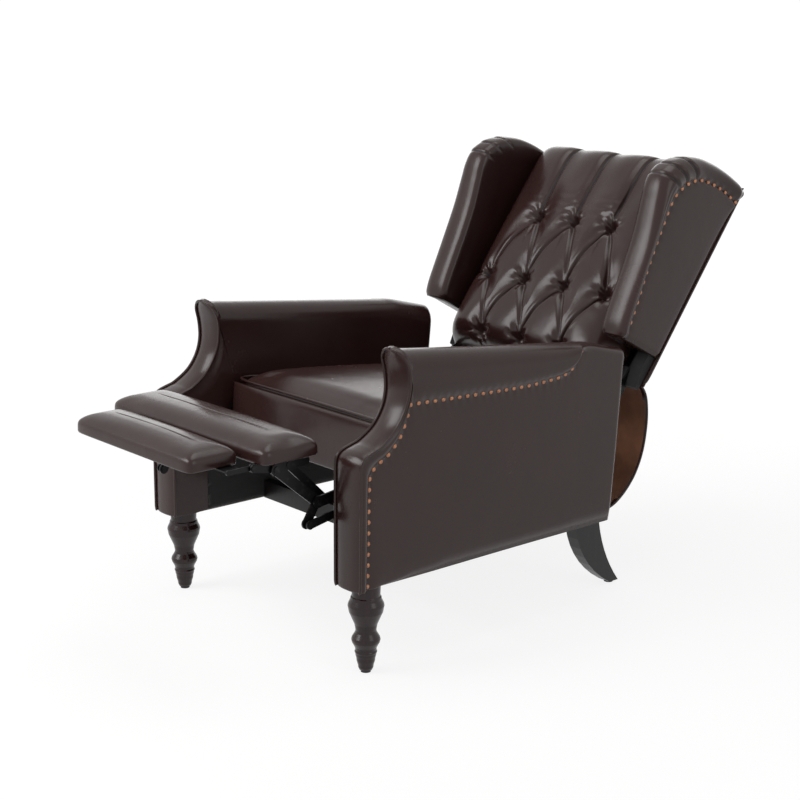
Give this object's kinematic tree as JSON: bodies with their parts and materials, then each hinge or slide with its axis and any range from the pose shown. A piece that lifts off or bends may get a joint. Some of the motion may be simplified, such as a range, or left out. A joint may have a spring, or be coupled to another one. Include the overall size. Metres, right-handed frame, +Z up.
{
  "type": "recliner",
  "caption": "Wingback push-back recliner with a tufted back, nail-trimmed arms, turned front legs and a linked footrest that unfolds as the back tilts.",
  "frame": {"origin": "on the floor, at the middle of the footprint of the leaned-back chair with its footrest out", "axes": "+Z up, +X to the sitter's left, +Y to the rear; the footrest points to -Y"},
  "size_m": [0.7, 1.4444, 0.9447],
  "materials": {
    "leather": "glossy bonded leather",
    "nails": "antique copper",
    "stained_wood": "dark reddish lacquer",
    "plywood": "bare",
    "black_cloth": "matt lining cloth over wood",
    "steel": "dark paint",
    "glides": "matt"
  },
  "bodies": {
    "base": {"left_arm": "leather", "right_arm": "leather", "left_arm_front": "leather", "right_arm_front": "leather", "left_arm_nails": "nails", "right_arm_nails": "nails", "left_front_leg": "stained_wood", "right_front_leg": "stained_wood", "left_rear_leg": "stained_wood", "right_rear_leg": "stained_wood", "leg_glides": "glides", "front_stretcher": "stained_wood", "rear_rail": "black_cloth", "corner_blocks": "plywood", "left_base_plate": "steel", "right_base_plate": "steel", "base_pins": "steel", "base_bolts": "steel", "rear_flap": "leather"},
    "swing": {"left_swing_link": "steel", "right_swing_link": "steel"},
    "seat": {"seat_cushion": "leather", "seat_border": "leather", "seat_side_rails": "plywood", "seat_cross_rails": "plywood", "seat_springs": "steel", "left_seat_plate": "steel", "right_seat_plate": "steel", "seat_pins": "steel"},
    "back": {"left_back_post": "black_cloth", "right_back_post": "black_cloth", "back_rails": "black_cloth", "back_pad": "leather", "back_buttons": "leather", "left_wing": "leather", "right_wing": "leather", "left_wing_nails": "nails", "right_wing_nails": "nails", "outside_back": "leather", "left_back_bracket": "steel", "right_back_bracket": "steel", "back_bolts": "steel"},
    "lift": {"left_lift_link": "steel", "right_lift_link": "steel", "lift_pins": "steel"},
    "reach": {"left_reach_link": "steel", "right_reach_link": "steel", "reach_pins": "steel"},
    "guide": {"guide_links": "steel"},
    "steering": {"steering_links": "steel"},
    "footrest": {"footrest_pad": "leather", "footrest_board": "plywood", "left_footrest_bracket": "steel", "right_footrest_bracket": "steel", "footrest_pins": "steel"},
    "folding": {"folding_pad": "leather", "folding_board": "plywood", "folding_hinges": "steel"}
  },
  "joints": [
    {"name": "back_recline", "type": "hinge", "parent": "base", "child": "back", "pos_m": [0, 0.23779, 0.27], "axis": [1, 0, 0], "range_deg": [0, 22], "deforming": ["rear_flap"]},
    {"name": "swing_turn", "type": "hinge", "parent": "base", "child": "swing", "pos_m": [0, -0.13821, 0.264], "axis": [1, 0, 0], "range_deg": [0, 22]},
    {"name": "seat_turn", "type": "hinge", "parent": "swing", "child": "seat", "pos_m": [0, -0.11811, 0.3674], "axis": [1, 0, 0], "range_deg": [-22, 0]},
    {"name": "lift_turn", "type": "hinge", "parent": "seat", "child": "lift", "pos_m": [0, -0.28821, 0.368], "axis": [1, 0, 0], "range_deg": [0, 111.18]},
    {"name": "knee_turn", "type": "hinge", "parent": "lift", "child": "reach", "pos_m": [0, -0.45821, 0.346], "axis": [1, 0, 0], "range_deg": [-79.46, 0]},
    {"name": "guide_turn", "type": "hinge", "parent": "seat", "child": "guide", "pos_m": [0, -0.29371, 0.3426], "axis": [1, 0, 0], "range_deg": [0, 105.7]},
    {"name": "steering_turn", "type": "hinge", "parent": "lift", "child": "steering", "pos_m": [0, -0.43221, 0.3457], "axis": [1, 0, 0], "range_deg": [-79.98, 0]},
    {"name": "footrest_turn", "type": "hinge", "parent": "reach", "child": "footrest", "pos_m": [0, -0.55421, 0.426], "axis": [1, 0, 0], "range_deg": [0, 58.28]},
    {"name": "folding_turn", "type": "hinge", "parent": "footrest", "child": "folding", "pos_m": [0, -0.60121, 0.436], "axis": [1, 0, 0], "range_deg": [0, 180]}
  ],
  "couplings": [
    {"joint": "swing_turn", "follows": "back_recline", "ratio": 1},
    {"joint": "seat_turn", "follows": "back_recline", "ratio": -1},
    {"joint": "lift_turn", "follows": "back_recline", "ratio": 5.0534},
    {"joint": "knee_turn", "follows": "back_recline", "ratio": -3.6115},
    {"joint": "guide_turn", "follows": "back_recline", "ratio": 4.8045},
    {"joint": "steering_turn", "follows": "back_recline", "ratio": -3.635},
    {"joint": "footrest_turn", "follows": "back_recline", "ratio": 2.6491},
    {"joint": "folding_turn", "follows": "back_recline", "ratio": 8.1818}
  ]
}
